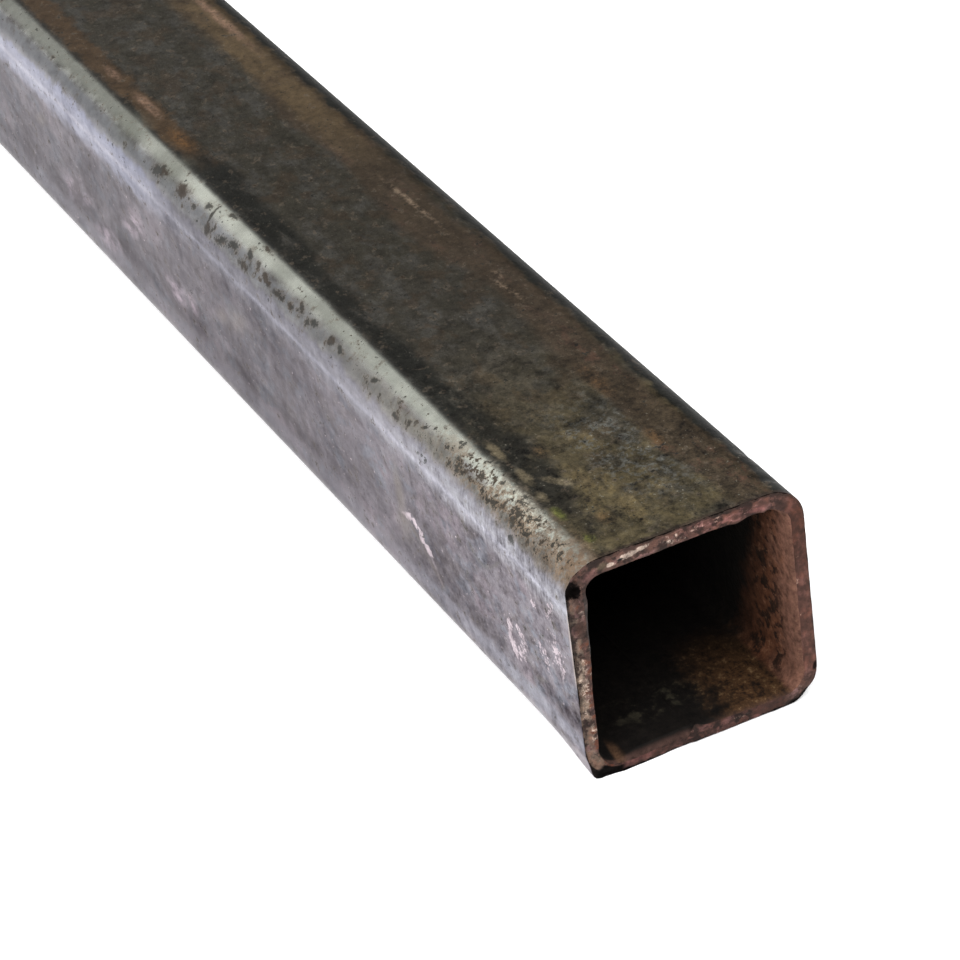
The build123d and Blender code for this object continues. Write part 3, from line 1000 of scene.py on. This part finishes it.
def rusty_bore():
    """The inside: black scale, with brown rust near the mouth that is also a painted pool of light, ending
    in a painted diagonal shadow edge.
    """
    s = Surface("rusty_bore", BORE_BLACK, 0, 0.8, 0.1)
    patchy = s.lumps(s.place, 3.2, 5, 0.7)
    mottle = s.lumps(s.place, 1.3, 5, 0.75, 5)
    reach = s.shifted(s.along, patchy, 12)
    beside = s.band(s.shifted(s.girth, patchy, 3), low_far_corner(292), far_corner(72), 1.5)
    # Painted diagonal shadow edge: how deep the painted light reaches, deeper lower down.
    shadow_edge_depth = s.rise(s.girth, far_side(30), far_side(5), 13, 21)

    # The floor: greyish lumps in the middle, brown rust towards the +Y side near the mouth, painted lighter
    # there as a pool of light
    lumpy = s.spots(s.skin, [(9, 1, 7, 8), (9, GIRTH - 3.5, 7, 12)], 0.8)
    s.coat(s.both(lumpy, s.rise(patchy, 0.5, 0.62), 0.8), BORE_LUMPS)
    lit_floor_rust = s.both(s.band(s.shifted(s.girth, patchy, 14), 7.2, low_far_corner(300), 4),
                        s.rise(reach, 24, 9))
    s.coat(s.times(lit_floor_rust, 0.9), FLOOR_RUST, 0, 0.85)
    s.coat(s.both(lit_floor_rust, s.rise(mottle, 0.5, 0.38), 0.85), BORE_DARK)
    s.coat(s.both(lit_floor_rust, s.rise(mottle, 0.56, 0.66), 0.6), FLOOR_SPECKS)

    # The +Y side: brown like the cut beside it, then redder, in dark blotches, then black. The brown and
    # red are rust and a painted pool of light, and their far edge, deeper lower down, is a painted diagonal
    # shadow edge.
    # Red rust and painted light together, as far as the painted shadow edge.
    rust = s.times(s.rise(reach, shadow_edge_depth, s.times(shadow_edge_depth, 0.45)), beside)
    s.coat(rust, BORE_RED, 0, 0.85)
    s.coat(s.both(beside, s.rise(reach, 9, 1)), BORE_BROWN, 0, 0.85)
    coarse = s.lumps(s.place, 2.4, 4, 0.6, 29)
    blotched = s.both(beside, s.rise(s.shifted(coarse, mottle, 0.35), 0.52, 0.43),
                      s.band(reach, 4.5, 13, 1.8))
    s.coat(s.times(blotched, 0.9), BORE_DARK)
    flecks = s.both(beside, s.rise(mottle, 0.56, 0.66), s.band(reach, 3.5, 12, 1.5))
    s.coat(s.times(flecks, 0.5), FLECKS)
    depth = s.depth()
    lip = s.both(s.rise(s.along, 1, 0.6), s.rise(beside, 1, 0),
                 s.rise(s.shifted(depth, mottle, 1), 2.9, 1.7))
    s.coat(lip, LIP_BROWN)
    s.tone(s.both(beside, s.rise(s.along, 1.3, 0.5)), 0.8)
    glow = s.spots(s.skin, [(1.8, GIRTH - 12.8, 5, 1.8)], 0.8)
    s.coat(s.times(glow, 0.7), CORNER_GLOW, 0, 0.85)
    s.shade(mottle, 3)
    s.shade(patchy, 1.5)
    s.raise_by(patchy, 0.3)
    s.raise_by(mottle, 0.12)
    return s.finish()


# -------- camera
CAMERA_AT = Vector((0.94237, -0.21256, 0.37287))
CAMERA_AZIMUTH = 67.697
CAMERA_ELEVATION = 33.079
CAMERA_ROLL = -8.616
CAMERA_LENS = 150.81  # millimetres, on a sensor 36 mm wide


def place_camera():
    azimuth, elevation = math.radians(CAMERA_AZIMUTH), math.radians(CAMERA_ELEVATION)
    right = Vector((math.cos(azimuth), math.sin(azimuth), 0))
    level = Vector((math.sin(azimuth), -math.cos(azimuth), 0))
    back = level * math.cos(elevation) + Vector((0, 0, math.sin(elevation)))
    axes = Matrix((right, back.cross(right), back)).transposed()
    roll = Matrix.Rotation(math.radians(CAMERA_ROLL), 3, "Z")
    lens = bpy.data.cameras.new("camera")
    lens.lens = CAMERA_LENS
    lens.sensor_width = 36
    lens.clip_start = 0.01
    camera = put("camera", lens)
    camera.matrix_world = Matrix.Translation(CAMERA_AT) @ (axes @ roll).to_4x4()
    bpy.context.scene.camera = camera


# -------- studio
def softbox(name, at, towards, length, width, radiance):
    """A rectangular area light. Its length runs along X, as nearly as its aim allows."""
    data = bpy.data.lights.new(name, "AREA")
    data.shape = "RECTANGLE"
    data.size, data.size_y = length, width
    data.energy = radiance * math.pi * length * width
    back = (Vector(at) - Vector(towards)).normalized()
    right = (Vector((1, 0, 0)) - back * back.x).normalized()
    turn = Matrix((right, back.cross(right), back)).transposed()
    put(name, data).matrix_world = Matrix.Translation(at) @ turn.to_4x4()


def long_softbox(name, centre_x, length, low, high, away, radiance):
    """A softbox beside the tube that spans the directions low to high, in degrees up from +Y."""
    turns = [math.radians(turn) for turn in (low, high)]
    ends = [Vector((centre_x, math.cos(turn) * away, math.sin(turn) * away)) for turn in turns]
    softbox(name, (ends[0] + ends[1]) / 2, (centre_x, 0, 0), length, (ends[1] - ends[0]).length, radiance)


def build_studio():
    floor_mesh = bpy.data.meshes.new("floor")
    half = 40.0
    rim = [(-half, -half, 0), (half, -half, 0), (half, half, 0), (-half, half, 0)]
    floor_mesh.from_pydata(rim, [], [(0, 1, 2, 3)])
    paper = bpy.data.materials.new("white_paper")
    paper.use_nodes = True
    paper_inputs = paper.node_tree.nodes["Principled BSDF"].inputs
    paper_inputs["Base Color"].default_value = (0.88, 0.88, 0.88, 1)
    paper_inputs["Roughness"].default_value = 0.9
    paper_inputs["Emission Color"].default_value = (1, 1, 1, 1)
    paper_inputs["Emission Strength"].default_value = 0.25  # a light table
    floor_mesh.materials.append(paper)
    put("floor", floor_mesh)

    world = bpy.data.worlds.new("world")
    world.use_nodes = True
    world.node_tree.nodes["Background"].inputs["Color"].default_value = (0.1, 0.1, 0.1, 1)
    bpy.context.scene.world = world
    bpy.context.scene.view_settings.view_transform = "Standard"

    long_softbox("key", -0.9, 3.4, 74, 140, 1.0, 2.1)
    long_softbox("side", -0.9, 3.4, 140.5, 176, 1.2, 1.25)
    softbox("fill", (1.5, 1.1, 1.5), (0.3, 0, 0), 1.6, 1.6, 4.4)
    softbox("near_fill", (1.6, -1.2, 1.4), (0.4, 0, 0), 1.4, 1.4, 6.8)


# -------- assembly
place_camera()
tube = build_tube()
for material in (mill_scale(), sawn_steel(), rusty_bore()):
    tube.data.materials.append(material)
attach(tube, "root")
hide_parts("square_tube")
build_studio()
